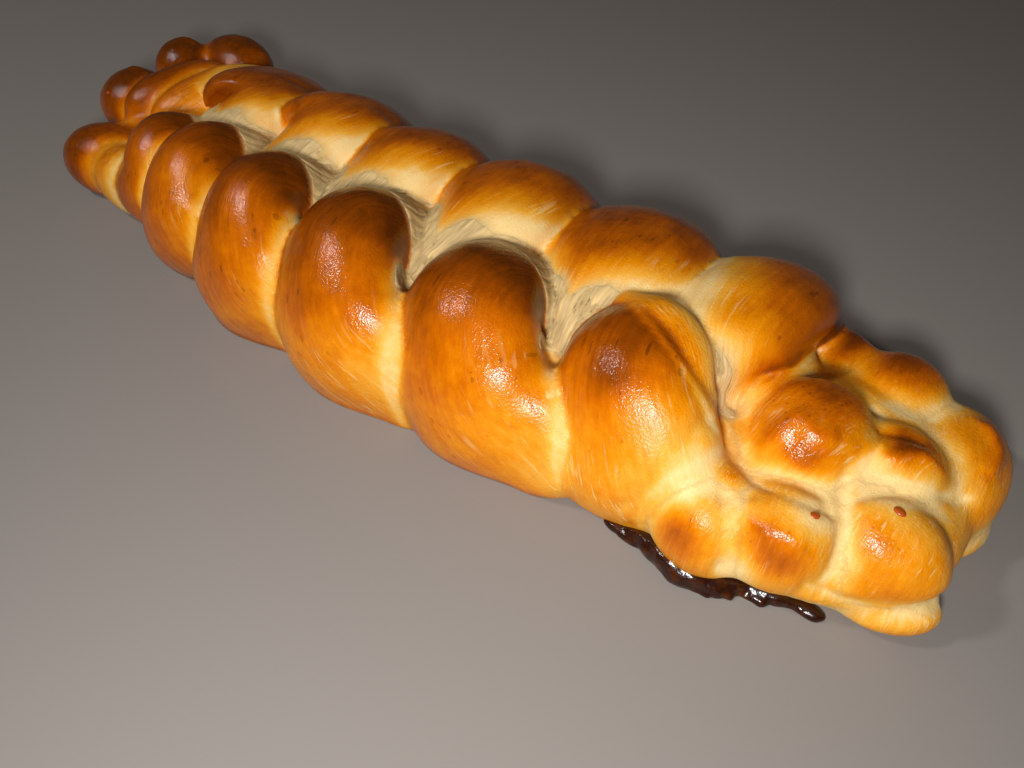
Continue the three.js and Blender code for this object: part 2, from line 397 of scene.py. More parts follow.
# ---------------------------------------------------------------------------------------
# The dough: a Geometry Nodes tree sweeps each strand along its route
# ---------------------------------------------------------------------------------------
def dough_tree():
    """Sweeps an oval along every edge path and puts an egg on every loose point."""
    tree = bpy.data.node_groups.new("Dough strands", "GeometryNodeTree")
    for name, kind in (
            ("Routes", "NodeSocketGeometry"), ("Sections", "NodeSocketInt"), ("Sides", "NodeSocketInt"),
            ("Axis", "NodeSocketVector"), ("Lean", "NodeSocketFloat"), ("Round End", "NodeSocketFloat"),
            ("Dough", "NodeSocketMaterial")):
        tree.interface.new_socket(name, in_out="INPUT", socket_type=kind)
    tree.interface.new_socket("Dough", in_out="OUTPUT", socket_type="NodeSocketGeometry")
    given = tree.nodes.new("NodeGroupInput").outputs

    # the strands' middles, which keep their place, heading and share of the way
    curve = add(tree, "GeometryNodeMeshToCurve", {"Mesh": given["Routes"]})
    curve = add(tree, "GeometryNodeCurveSplineType", {"Curve": curve}, spline_type="CATMULL_ROM")
    curve = add(tree, "GeometryNodeResampleCurve", {"Curve": curve, "Count": given["Sections"]})
    for name, source, kind in (
            ("middle", "GeometryNodeInputPosition", "FLOAT_VECTOR"),
            ("heading", "GeometryNodeInputTangent", "FLOAT_VECTOR"),
            ("share", "GeometryNodeSplineParameter", "FLOAT")):
        curve = add(
            tree, "GeometryNodeStoreNamedAttribute",
            {"Geometry": curve, "Name": name, "Value": add(tree, source)}, data_type=kind, domain="POINT")
    ring = add(
        tree, "GeometryNodeCurvePrimitiveCircle", {"Resolution": given["Sides"], "Radius": 1.0},
        mode="RADIUS")
    ring = add(
        tree, "GeometryNodeStoreNamedAttribute",
        {"Geometry": ring, "Name": "turn", "Value": add(tree, "GeometryNodeSplineParameter")},
        data_type="FLOAT", domain="POINT")
    tube = add(
        tree, "GeometryNodeCurveToMesh", {"Curve": curve, "Profile Curve": ring, "Fill Caps": True})

    read = {}
    for name, kind in (
            ("middle", "FLOAT_VECTOR"), ("heading", "FLOAT_VECTOR"), ("share", "FLOAT"), ("turn", "FLOAT"),
            ("lean_share", "FLOAT"), ("half_width", "FLOAT"), ("half_thick", "FLOAT"),
            ("is_knob", "BOOLEAN"), ("knob_turn", "FLOAT_VECTOR"), ("knob_half", "FLOAT_VECTOR")):
        read[name] = add(tree, "GeometryNodeInputNamedAttribute", {"Name": name}, data_type=kind)

    # outward from the axis, squared to the strand, then leaned over the strand before
    heading = read["heading"]
    outward = add(tree, VECTOR_MATH, {0: read["middle"], 1: given["Axis"]}, operation="SUBTRACT")
    outward = add(tree, VECTOR_MATH, {0: outward, 1: (0, 1, 1)}, operation="MULTIPLY")
    along = add(tree, VECTOR_MATH, {0: outward, 1: heading}, operation="DOT_PRODUCT")
    along = add(tree, VECTOR_MATH, {0: heading, "Scale": along}, operation="SCALE")
    outward = add(tree, VECTOR_MATH, {0: outward, 1: along}, operation="SUBTRACT")
    outward = add(tree, VECTOR_MATH, {0: outward}, operation="NORMALIZE")
    across = add(tree, VECTOR_MATH, {0: heading, 1: outward}, operation="CROSS_PRODUCT")
    across_x = add(tree, "ShaderNodeSeparateXYZ", {0: across}).outputs["X"]
    angle = add(tree, MATH, {0: across_x}, operation="SIGN")
    for factor in (read["lean_share"], given["Lean"], -1.0):
        angle = add(tree, MATH, {0: angle, 1: factor}, operation="MULTIPLY")
    across, outward = [
        add(tree, "ShaderNodeVectorRotate", {"Vector": vector, "Axis": heading, "Angle": angle},
            rotation_type="AXIS_ANGLE")
        for vector in (across, outward)]

    # rounded ends: the oval shrinks as a quarter circle, and its last ring stays just open
    plain_part = add(tree, MATH, {0: 1.0, 1: given["Round End"]}, operation="SUBTRACT")
    into_end = read["share"]
    for operation, other in (
            ("MULTIPLY", 2.0), ("SUBTRACT", 1.0), ("ABSOLUTE", 0.0), ("SUBTRACT", plain_part),
            ("DIVIDE", given["Round End"]), ("MAXIMUM", 0.0)):
        into_end = add(tree, MATH, {0: into_end, 1: other}, operation=operation)
    squared = add(tree, MATH, {0: into_end, 1: into_end}, operation="MULTIPLY")
    shrink = add(tree, MATH, {0: 1.0, 1: squared}, operation="SUBTRACT")
    shrink = add(tree, MATH, {0: shrink, 1: LAST_RING ** 2}, operation="MAXIMUM")
    shrink = add(tree, MATH, {0: shrink}, operation="SQRT")

    turn = add(tree, MATH, {0: read["turn"], 1: 2 * math.pi}, operation="MULTIPLY")
    place = read["middle"]
    for wave, half, direction in (("COSINE", "half_width", across), ("SINE", "half_thick", outward)):
        amount = add(tree, MATH, {0: turn}, operation=wave)
        for factor in (read[half], shrink):
            amount = add(tree, MATH, {0: amount, 1: factor}, operation="MULTIPLY")
        step = add(tree, VECTOR_MATH, {0: direction, "Scale": amount}, operation="SCALE")
        place = add(tree, VECTOR_MATH, {0: place, 1: step}, operation="ADD")
    tube = add(tree, "GeometryNodeSetPosition", {"Geometry": tube, "Position": place})

    # the knobs
    egg = add(tree, "GeometryNodeMeshUVSphere", {"Segments": 48, "Rings": 32, "Radius": 1.0})
    eggs = add(
        tree, "GeometryNodeInstanceOnPoints",
        {"Points": given["Routes"], "Selection": read["is_knob"], "Instance": egg,
         "Rotation": read["knob_turn"], "Scale": read["knob_half"]})
    joined = add(tree, "GeometryNodeJoinGeometry")
    for part in (tube, eggs):
        tree.links.new(part.outputs[0], joined.inputs[0])
    whole = add(tree, "GeometryNodeRealizeInstances", {"Geometry": joined})
    whole = add(tree, "GeometryNodeSetMaterial", {"Geometry": whole, "Material": given["Dough"]})
    add(tree, "NodeGroupOutput", {"Dough": whole})
    return tree


def routes_mesh(routes, knobs):
    """Edge paths for the strands and loose points for the knobs, in metres."""
    points, edges, widths, thicks, leans, halves, turns = [], [], [], [], [], [], []
    for route in routes:
        spine, width, thick, lean = with_caps(route)
        start = len(points)
        points += [tuple(p) for p in spine]
        edges += [(start + i, start + i + 1) for i in range(len(spine) - 1)]
        widths += list(width)
        thicks += list(thick)
        leans += list(lean)
        halves += [(0, 0, 0)] * len(spine)
        turns += [(0, 0, 0)] * len(spine)
    knobs_from = len(points)
    for at, half, turn in knobs:
        points.append(at)
        widths.append(0)
        thicks.append(0)
        leans.append(0)
        halves.append(half)
        turns.append((0, 0, math.radians(turn)))
    mesh = bpy.data.meshes.new("routes")
    mesh.from_pydata([Vector(p) * MM for p in points], edges, [])
    store(mesh, "half_width", np.array(widths) * MM)
    store(mesh, "half_thick", np.array(thicks) * MM)
    store(mesh, "lean_share", np.array(leans, float))
    store(mesh, "knob_half", np.array(halves, float) * MM)
    store(mesh, "knob_turn", np.array(turns, float))
    flag = mesh.attributes.new("is_knob", "BOOLEAN", "POINT")
    flag.data.foreach_set("value", [i >= knobs_from for i in range(len(points))])
    return mesh


def grow_dough(name, routes, knobs, voxel, shape, material):
    """Strands and knobs grown along their routes, then joined into one skin."""
    dough = link(bpy.data.objects.new("dough", routes_mesh(routes, knobs)))
    tree = dough_tree()
    grow = dough.modifiers.new("Strands", "NODES")
    grow.node_group = tree
    sizes = {
        "Sections": 72, "Sides": 56, "Axis": (0.0, shape.axis_y, shape.axis_z),
        "Lean": shape.lean, "Round End": 0.24, "Dough": material}
    for item in tree.interface.items_tree:
        if item.in_out == "INPUT" and item.name in sizes:
            grow[item.identifier] = sizes[item.name]
    skin = dough.modifiers.new("Skin", "REMESH")
    skin.mode = "VOXEL"
    skin.voxel_size = voxel
    grown = evaluated(dough, name)
    grown.data.materials.clear()
    grown.data.materials.append(material)
    return grown


# ---------------------------------------------------------------------------------------
# Where a point of the skin lies on its strand
# ---------------------------------------------------------------------------------------
STATIONS = 60  # places along a strand's middle
PULL_REACH = 0.6  # how much farther a place may be and still count, in millimetres
DEEPEST = 0.2  # the share of a strand's radius below which a point counts as in its middle


def strand_places(co, shape):
    """For every strand and knob: how far each point lies outside its surface in mm, the point's
    share along it, across it (-1 on the small-end side, 1 on the other) and outward through it.
    A strand is measured from STATIONS places on its middle, each by how near it is, so that
    nothing jumps from one place to the next."""
    axis = np.array([0, shape.axis_y, shape.axis_z]) / MM
    gaps, shares, sides, lifts = [], [], [], []
    for route in ROUTES:
        middle = spline(route[0], STATIONS)
        width = spline(np.array(route[1]), STATIONS)[:, 0]
        thick = spline(np.array(route[2]), STATIONS)[:, 0]
        lean = spline(np.array(route[3]), STATIONS) * shape.lean
        heading = np.gradient(middle, axis=0)
        heading /= np.linalg.norm(heading, axis=1)[:, None]
        outward = (middle - axis) * (0, 1, 1)
        outward -= (outward * heading).sum(1)[:, None] * heading
        outward /= np.linalg.norm(outward, axis=1)[:, None]
        across = np.cross(heading, outward)
        turn = -np.sign(across[:, :1])
        cos, sin = np.cos(lean), np.sin(lean) * turn
        across, outward = cos * across - sin * outward, cos * outward + sin * across
        across = across * -turn
        away = np.sqrt(((co[:, None] - middle[None]) ** 2).sum(2))
        pull = np.exp(-(away - away.min(1)[:, None]) / PULL_REACH)
        pull /= pull.sum(1)[:, None]
        offset = co - pull @ middle
        a = (offset * (pull @ across)).sum(1) / (pull @ width)
        b = (offset * (pull @ outward)).sum(1) / (pull @ thick)
        end = (offset * (pull @ heading)).sum(1) / (pull @ thick)
        reach = np.sqrt(a * a + b * b + end * end)
        gaps.append(np.linalg.norm(offset, axis=1) * (1 - 1 / np.maximum(reach, DEEPEST)))
        shares.append(pull @ np.linspace(0, 1, STATIONS))
        sides.append(np.clip(a, -1, 1))
        lifts.append(np.clip(b, -1, 1))
    for at, half, turn in KNOBS:
        angle = math.radians(-turn)
        offset = co - np.array(at)
        x = offset[:, 0] * math.cos(angle) - offset[:, 1] * math.sin(angle)
        y = offset[:, 0] * math.sin(angle) + offset[:, 1] * math.cos(angle)
        reach = np.sqrt((x / half[0]) ** 2 + (y / half[1]) ** 2 + (offset[:, 2] / half[2]) ** 2)
        gaps.append(np.linalg.norm(offset, axis=1) * (1 - 1 / np.maximum(reach, DEEPEST)))
        shares.append(np.clip(0.5 + y / half[1] / 2, 0, 1))
        sides.append(np.clip(x / half[0], -1, 1))
        lifts.append(np.clip(offset[:, 2] / half[2], -1, 1))
    return np.array(gaps), np.array(shares), np.array(sides), np.array(lifts)


# The span of a strand's own coordinates, in millimetres: half of its width and its whole length,
# and how far apart two strands are kept, so that their patterns differ.
STRAND_HALF_WIDTH = 22
STRAND_LENGTH = 95
STRAND_STEP = 31.0


def strand_grid(gaps, shares, sides):
    """Each point's place on its own strand, in millimetres: across it, along it, and its number."""
    owner = gaps.argmin(0)
    index = np.arange(len(owner))
    across = sides[owner, index] * STRAND_HALF_WIDTH
    along = shares[owner, index] * STRAND_LENGTH
    return np.stack([across, along, owner * STRAND_STEP], 1)


def neighbours(mesh):
    """The pairs of vertices that a mesh's edges join."""
    edges = np.empty(len(mesh.edges) * 2, np.int64)
    mesh.edges.foreach_get("vertices", edges)
    return edges.reshape(-1, 2)


def relax(co, edges, weight, rounds):
    """Smooths points towards their neighbours, each by its own weight."""
    count = np.bincount(edges.ravel(), minlength=len(co))[:, None]
    for _ in range(rounds):
        total = np.zeros_like(co)
        for axis in range(3):
            total[:, axis] = (
                np.bincount(edges[:, 0], co[edges[:, 1], axis], len(co))
                + np.bincount(edges[:, 1], co[edges[:, 0], axis], len(co)))
        co = co + weight[:, None] * (total / np.maximum(count, 1) - co)
    return co


def cut_flat(obj):
    """Cuts the loaf flat where it lay on its tray, and closes the cut."""
    sheet = bmesh.new()
    sheet.from_mesh(obj.data)
    cut = bmesh.ops.bisect_plane(
        sheet, geom=sheet.verts[:] + sheet.edges[:] + sheet.faces[:], dist=1e-6,
        plane_co=(0, 0, 0), plane_no=(0, 0, -1), clear_outer=True)
    rim = [e for e in cut["geom_cut"] if isinstance(e, bmesh.types.BMEdge)]
    bmesh.ops.holes_fill(sheet, edges=rim)
    bmesh.ops.triangulate(sheet, faces=[f for f in sheet.faces if len(f.verts) > 4])
    bmesh.ops.recalc_face_normals(sheet, faces=sheet.faces[:])
    sheet.to_mesh(obj.data)
    sheet.free()


# ---------------------------------------------------------------------------------------
# Materials
# ---------------------------------------------------------------------------------------
def new_material(name):
    """An empty material and its tree."""
    material = bpy.data.materials.new(name)
    material.use_nodes = True
    material.node_tree.nodes.clear()
    return material, material.node_tree


def end_in_shader(tree, inputs):
    """Ends a material's tree in one shader with these inputs."""
    shader = add(tree, "ShaderNodeBsdfPrincipled", inputs)
    add(tree, "ShaderNodeOutputMaterial", {"Surface": shader})


DARKEST_LEVEL = 1.3  # the browning that gives the darkest colour of the crust

# Patterns of the crust: grain in millimetres, detail, roughness, and the scale of the pattern
# along the strand, where a small one draws it out. Those with None don't follow the strand.
CRUST_GRAIN = {
    "blotch": (11, 3.0, 0.5, None),
    "mottle": (2.6, 3.0, 0.6, None),
    "pebble": (0.7, 2.0, 0.5, None),
    "streak": (1.5, 3.0, 0.6, 0.16),
    "line": (1.0, 2.0, 0.5, 0.07),
    "fibre": (0.9, 4.0, 0.65, 0.3),
}


def crust_material(looks):
    """Baked milk-bread crust under egg wash: glossy brown crowns that fade through gold to
    matt pale dough where it stretched after the wash went on."""
    material, tree = new_material("egg-washed crust")
    # browning, with painted shade mixed in at the small end and over one roll's top
    browning_and_shade = add(tree, "ShaderNodeAttribute", attribute_name="browning_and_shade").outputs["Fac"]
    torn = add(tree, "ShaderNodeAttribute", attribute_name="torn").outputs["Fac"]
    strand = add(tree, "ShaderNodeAttribute", attribute_name="strand").outputs["Vector"]
    place = add(tree, "ShaderNodeTexCoord").outputs["Object"]
    grain = {}
    for name, (millimetres, detail, rough, drawn) in CRUST_GRAIN.items():
        vector = place
        if drawn:
            vector = add(tree, MAPPING, {"Vector": strand, "Scale": (1.0, drawn, 1.0)})
        grain[name] = add(
            tree, NOISE,
            {"Vector": vector, "Scale": 1 / (millimetres * MM), "Detail": detail, "Roughness": rough})

    level = browning_and_shade
    for name, swing in (("blotch", 0.38), ("mottle", 0.16), ("streak", 0.30)):
        uneven = add(tree, MATH, {0: grain[name], 1: 0.5}, operation="SUBTRACT")
        uneven = add(tree, MATH, {0: uneven, 1: swing}, operation="MULTIPLY")
        level = add(tree, MATH, {0: level, 1: uneven}, operation="ADD")
    level = add(tree, MATH, {0: level, 1: DARKEST_LEVEL}, operation="DIVIDE")
    base = add(
        tree, "ShaderNodeValToRGB", {"Fac": level},
        stops=((0.0, looks.pale), (0.2, looks.straw), (0.4, looks.amber), (0.6, looks.tan),
               (0.8, looks.brown), (1.0, looks.dark)))

    # thin pale lines where the wash was stretched apart
    line = add(tree, RANGE, {"Value": grain["line"], "From Min": 0.58, "From Max": 0.66})
    light = add(tree, RANGE, {"Value": browning_and_shade, "From Min": 0.8, "From Max": 0.4})
    patchy = add(tree, RANGE, {"Value": grain["blotch"], "From Min": 0.42, "From Max": 0.6})
    for factor in (light, patchy, 0.6):
        line = add(tree, MATH, {0: line, 1: factor}, operation="MULTIPLY")

    # specks of darker wash, drawn out along the strand
    cells = add(tree, MAPPING, {"Vector": strand, "Scale": (1.0, 0.4, 1.0)})
    speck = add(
        tree, "ShaderNodeTexVoronoi", {"Vector": cells, "Scale": 1 / (2.9 * MM), "Randomness": 1.0},
        feature="F1").outputs["Distance"]
    speck = add(tree, MATH, {0: speck, 1: 0.15}, operation="LESS_THAN")
    in_patches = add(tree, MATH, {0: grain["blotch"], 1: 0.47}, operation="GREATER_THAN")
    on_brown = add(tree, MATH, {0: browning_and_shade, 1: 0.35}, operation="SUBTRACT", use_clamp=True)
    for factor in (in_patches, on_brown):
        speck = add(tree, MATH, {0: speck, 1: factor}, operation="MULTIPLY", use_clamp=True)

    # the tray side: evenly browned, floury and matt
    z = add(tree, "ShaderNodeSeparateXYZ", {0: place}).outputs["Z"]
    tray = add(
        tree, RANGE,
        {"Value": z, "From Min": 0.0, "From Max": 1.0 * MM, "To Min": 1.0, "To Max": 0.0})
    floury = add(
        tree, MIX, {"Factor": grain["mottle"], "A": colour(looks.straw), "B": colour(looks.underside)},
        data_type="RGBA")

    # torn dough: matt, grey-cream with painted shade of its valleys, and painted shade in the gaps between
    # drawn-out fibres
    fibre_gap_shade = add(
        tree, RANGE,
        {"Value": grain["fibre"], "From Min": 0.30, "From Max": 0.46, "To Min": 1.0, "To Max": 0.0})
    crumb = add(
        tree, MIX, {"Factor": fibre_gap_shade, "A": colour(looks.crumb), "B": colour(looks.pit_shade)}, data_type="RGBA")

    # each layer covers the ones before it
    for cover, tone in (
            (line, colour(looks.pale)), (speck, colour(looks.dark)), (tray, floury), (torn, crumb)):
        base = add(tree, MIX, {"Factor": cover, "A": base, "B": tone}, data_type="RGBA")

    # washed crust is glossy where it is brown; pale dough, crumb and the tray side are matt
    rough = add(
        tree, RANGE,
        {"Value": level, "From Min": 0.1, "From Max": 0.55, "To Min": 0.56, "To Max": 0.17})
    rough_crumb = add(tree, MATH, {0: torn, 1: 0.35}, operation="MULTIPLY")
    rough_tray = add(tree, MATH, {0: tray, 1: 0.7}, operation="MULTIPLY")
    rough = add(tree, MATH, {0: rough, 1: rough_crumb}, operation="ADD", use_clamp=True)
    rough = add(tree, MATH, {0: rough, 1: rough_tray}, operation="MAXIMUM")

    relief = 0.0
    ragged = add(tree, MATH, {0: grain["fibre"], 1: torn}, operation="MULTIPLY")
    for pattern, depth in ((grain["pebble"], 0.3), (grain["streak"], 0.3), (ragged, 1.1)):
        raised = add(tree, MATH, {0: pattern, 1: depth}, operation="MULTIPLY")
        relief = add(tree, MATH, {0: relief, 1: raised}, operation="ADD")
    bump = add(tree, BUMP, {"Height": relief, "Strength": 0.6, "Distance": 0.9 * MM})
    end_in_shader(tree, {
        "Base Color": base, "Roughness": rough, "Normal": bump, "IOR": 1.46, "Specular IOR Level": 0.38,
        "Subsurface Weight": 0.18, "Subsurface Radius": (1.0, 0.5, 0.2), "Subsurface Scale": 3 * MM})
    return material


def torn_material(looks):
    """Unglazed milk-bread crumb, pulled into fibres: matt cream, greyed as painted shade of its
    valleys, with painted shade in its holes and in the gaps between its fibres.
    """
    material, tree = new_material("torn crumb")
    place = add(tree, "ShaderNodeTexCoord").outputs["Object"]
    strand = add(tree, "ShaderNodeAttribute", attribute_name="strand").outputs["Vector"]
    hole_shade = add(tree, "ShaderNodeAttribute", attribute_name="hole_shade").outputs["Fac"]
    drawn = add(tree, MAPPING, {"Vector": strand, "Scale": (1.0, 0.14, 1.0)})
    fibre = add(tree, NOISE, {"Vector": drawn, "Scale": 1 / (1.2 * MM), "Detail": 3.0})
    patch = add(tree, NOISE, {"Vector": place, "Scale": 1 / (6 * MM), "Detail": 2.0})
    # the fibre pattern, which also drives the bump, runs from painted shade in the gaps between fibres to
    # crumb and pale dough on the fibres
    base = add(
        tree, "ShaderNodeValToRGB", {"Fac": fibre},
        stops=((0.26, looks.pit_shade), (0.42, looks.crumb), (0.66, looks.pale)))
    # the patches are plain crumb; the holes get painted shade
    for cover, tone in ((patch, looks.crumb), (hole_shade, looks.pit_shade)):
        base = add(tree, MIX, {"Factor": cover, "A": base, "B": colour(tone)}, data_type="RGBA")
    bump = add(tree, BUMP, {"Height": fibre, "Strength": 0.45, "Distance": 0.6 * MM})
    end_in_shader(tree, {
        "Base Color": base, "Roughness": 0.75, "Normal": bump, "Subsurface Weight": 0.2,
        "Subsurface Radius": (1.0, 0.6, 0.3), "Subsurface Scale": 2 * MM})
    return material


def burnt_material(looks):
    """Egg wash that ran down and caramelised: near-black brown, hard and glossy."""
    material, tree = new_material("burnt egg wash")
    place = add(tree, "ShaderNodeTexCoord").outputs["Object"]
    blotch = add(tree, NOISE, {"Vector": place, "Scale": 1 / (3 * MM), "Detail": 3.0})
    base = add(
        tree, "ShaderNodeValToRGB", {"Fac": blotch}, stops=((0.5, looks.burnt), (0.95, looks.dark)))
    bump = add(tree, BUMP, {"Height": blotch, "Strength": 0.5, "Distance": 0.8 * MM})
    end_in_shader(tree, {"Base Color": base, "Roughness": 0.22, "Normal": bump, "IOR": 1.5})
    return material


def blister_material(looks):
    """Blistered egg wash: a thin red-brown glaze."""
    material, tree = new_material("blistered egg wash")
    end_in_shader(tree, {"Base Color": colour(looks.blister), "Roughness": 0.3, "IOR": 1.48})
    return material


# ---------------------------------------------------------------------------------------
# Operators
# ---------------------------------------------------------------------------------------
def fit_inside(obj):
    """Draws the piece in by the fraction of a millimetre that it stands outside the CAD box."""
    co = coordinates(obj.data)
    reach = np.array(CAD_BOX[1])
    co *= np.minimum(1, reach / np.abs(co).max(0))
    move_to(obj.data, co)


def finish_piece(obj, replaces=None):
    """Smooth shading, and the calls that tie a piece to the frame."""
    for polygon in obj.data.polygons:
        polygon.use_smooth = True
    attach(obj, BODY)
    if replaces:
        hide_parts(replaces)


# Near rolls: how brown the crown is, how brown the foot is, and how wide the cream strip
# beside the next roll is.
NEAR_LOOKS = [
    (1.02, 0.88, 2.5), (0.94, 0.80, 3), (1.04, 0.70, 3.5),
    (1.06, 0.56, 4), (0.94, 0.64, 3.2), (0.78, 0.46, 3),
]
# Far rolls: how brown the back is, and how far the brown reaches over the cream crescent.
FAR_LOOKS = [(1.0, 6), (0.9, 7), (0.94, 4), (0.9, 5), (0.94, 4), (0.88, 0)]

# Soft spots of more or less browning, some of them partly painted shade as noted below: place, radius,
# change.
SPOTS = [
    ((89, -34, 50), 10, 0.34), ((118, -34, 34), 11, -0.4), ((84, -52, 14), 12, -0.14),
    # the first spot here, over the top of the fifth near roll, is partly browning, partly painted shade
    # where that top faces away from the lamps
    ((44, -28, 54), 18, 0.1), ((22, -58, 22), 14, -0.1), ((97, -18, 52), 9, 0.2),
    ((136, 0, 43), 11, 0.52), ((139, -18, 36), 7, 0.42), ((130, -14, 36), 7, 0.2),
    ((156, 4, 36), 8, 0.56), ((161, -13, 34), 9, -0.44), ((165, 8, 31), 7, 0.26),
    ((138, -42, 27), 7, 0.46), ((148, -41, 25), 7, 0.36), ((148, -28, 34), 9, -0.5),
    ((162, -25, 30), 8, 0.2), ((171, -29, 18), 10, 0.26), ((167, -3, 33), 6, -0.22),
    ((178, -30, 8), 11, 0.14), ((122, -48, 20), 10, 0.52), ((128, -44, 28), 6, -0.1),
    ((177, 25, 29), 11, 0.26), ((184, 8, 18), 10, 0.1), ((148, 37, 31), 12, 0.62),
    ((152, 22, 28), 8, -0.3), ((130, 40, 27), 13, 0.8), ((125, -31, 31), 5, 0.6),
    # spots with negative x sit at the small end: partly deeper browning, partly painted shade of the dimmer
    # light there
    ((120, 3, 36), 9, 0.55), ((-184, -9, 24), 18, 0.5), ((-160, -44, 18), 18, 0.4),
    ((-190, 22, 28), 15, 0.55), ((-172, 40, 28), 18, 0.45), ((-163, 0, 34), 18, 0.22),
]

# Folds over the dough: points, height, how far it swells to the left and to the right of its
# course, change of browning on it, and change on its left.
FOLDS = [
    ([(80, -13, 52), (87, -17, 54), (95, -20, 52), (103, -22, 48), (111, -24, 43), (117, -25, 37)],
     0.4, 4, 0.7, -0.36, 0.0),
    ([(128, -18, 34), (132, -11, 41), (138, -12, 41), (143, -9, 39)], 1.5, 2.5, 3.5, 0.2, 0.15),
    ([(148, -7, 36), (152, -1, 37), (155, -3, 36), (160, 2, 34), (167, 4, 31)], 1.7, 1.8, 2.4, 0.3, 0.1),
    ([(149, 4, 36), (156, 6, 36), (163, 9, 32)], -1.3, 3.5, 2.0, 0.2, 0.1),
    ([(134, -33, 31), (137, -39, 29), (143, -38, 30), (151, -37, 28)], 1.5, 3.0, 4.0, 0.22, 0.0),
    ([(156, -40, 18), (164, -37, 15), (172, -33, 14), (180, -26, 13), (186, -14, 12)],
     -2.2, 2.2, 1.6, -0.3, 0.0),
    ([(145, -3, 33), (149, -13, 30), (155, -25, 29), (158, -37, 20)], -1.5, 1.8, 1.8, -0.3, 0.0),
    ([(129, -26, 31), (138, -29, 31), (146, -28, 31), (153, -23, 29)], -1.2, 1.8, 1.8, -0.28, 0.0),
    ([(153, -19, 30), (162, -9, 31), (172, 1, 27), (179, 8, 24)], -1.3, 1.8, 1.8, -0.28, 0.0),
    ([(171, 31, 29), (178, 24, 29), (179, 14, 28)], 1.6, 2.2, 2.0, 0.2, 0.0),
    ([(126, -35, 30), (131, -43, 24), (136, -48, 12)], -1.3, 1.8, 1.8, -0.25, 0.0),
    ([(106, -49, 16), (112, -41, 29), (114, -32, 38), (115, -22, 40)], -1.4, 3.0, 2.5, -0.2, 0.0),
    ([(136, 10, 36), (143, 14, 32), (148, 14, 30)], -1.5, 2.0, 2.0, -0.25, 0.0),
    ([(-176, -22, 18), (-168, -28, 20), (-158, -29, 20)], -1.5, 2.0, 2.0, -0.2, 0.0),
    ([(-188, -6, 28), (-180, -2, 30), (-174, -8, 30)], 1.2, 2.0, 2.0, 0.1, 0.0),
    ([(-192, 24, 28), (-184, 28, 28), (-180, 22, 28)], 1.2, 2.0, 2.0, 0.1, 0.0),
]


def folds_at(co):
    """Height and browning that the folds give each point."""
    height = np.zeros(len(co))
    tone = np.zeros(len(co))
    for points, rise, left, right, on_line, on_left in FOLDS:
        line = spline(points, 50)
        course = np.gradient(line, axis=0)
        reach = np.nonzero(np.abs(co - line.mean(0)).max(1) < 45)[0]
        offset = co[reach][:, None] - line[None]
        offset[:, :, 2] *= 0.5
        away = (offset ** 2).sum(2)
        nearest = away.argmin(1)
        index = np.arange(len(reach))
        away = np.sqrt(away[index, nearest])
        near = offset[index, nearest]
        turn = course[nearest, 0] * near[:, 1] - course[nearest, 1] * near[:, 0]
        width = np.where(turn > 0, left, right)
        ends = ease(0, 6, nearest) * ease(0, 6, 49 - nearest)
        swell = np.exp(-(away / width) ** 2) * (0.35 + 0.65 * ends)
        height[reach] += rise * swell
        tone[reach] += on_line * np.exp(-(away / 1.4) ** 2)
        tone[reach] += on_left * (turn > 0) * swell * ease(0.5, 3, away)
    return height, tone


def near_level(k, z, share, side, following):
    """How brown near roll k is: browner towards its crest and its small-end side, paler towards
    the next roll, with a cream strip beside that roll, which covered it while it rose."""
    crown, foot, strip = NEAR_LOOKS[k]
    level = foot + (crown - foot) * ease(14, 52, z) + 0.10 * ease(0.1, 0.9, -side)
    level += 0.32 * ease(0.66, 0.77, share) - 0.22 * ease(-0.1, 0.8, side) * (1 - ease(0.6, 0.72, share))
    return np.maximum(level - 0.6 * (1 - ease(strip * 0.2, strip * 2.6, following)), 0.2)


def far_level(j, co, share, gaps):
    """How brown far roll j is: brown on its back, with a cream crescent on the front of its top,
    where the strands pulled apart. On the last roll the crescent faces the knobs instead."""
    crown, reach = FAR_LOOKS[j]
    x = co[:, 0] - FAR_ROLLS[j][0][1]
    if j == len(FAR_ROLLS) - 1:
        out = np.maximum(-(x + 4) * 0.9 - (co[:, 1] - 22) * 0.25, (2 - co[:, 1]) * 0.8 - x * 0.1)
    else:
        out = 0.64 * (x + 8) - 0.77 * (co[:, 1] + 5) - reach
        out = np.maximum(out, 9 - gaps[j] * 1.6)
    front = 0.45 * ease(-13, 2, out) + 0.55 * ease(-1, 9, out)
    level = crown * (0.62 + 0.38 * ease(0.2, 0.5, share)) - 0.9 * front
    if j < len(FAR_ROLLS) - 1:
        level -= 0.25 * (1 - ease(1, 6, gaps[LAST_NEAR + 2 + j])) * ease(0.3, 0.5, share)
    return level


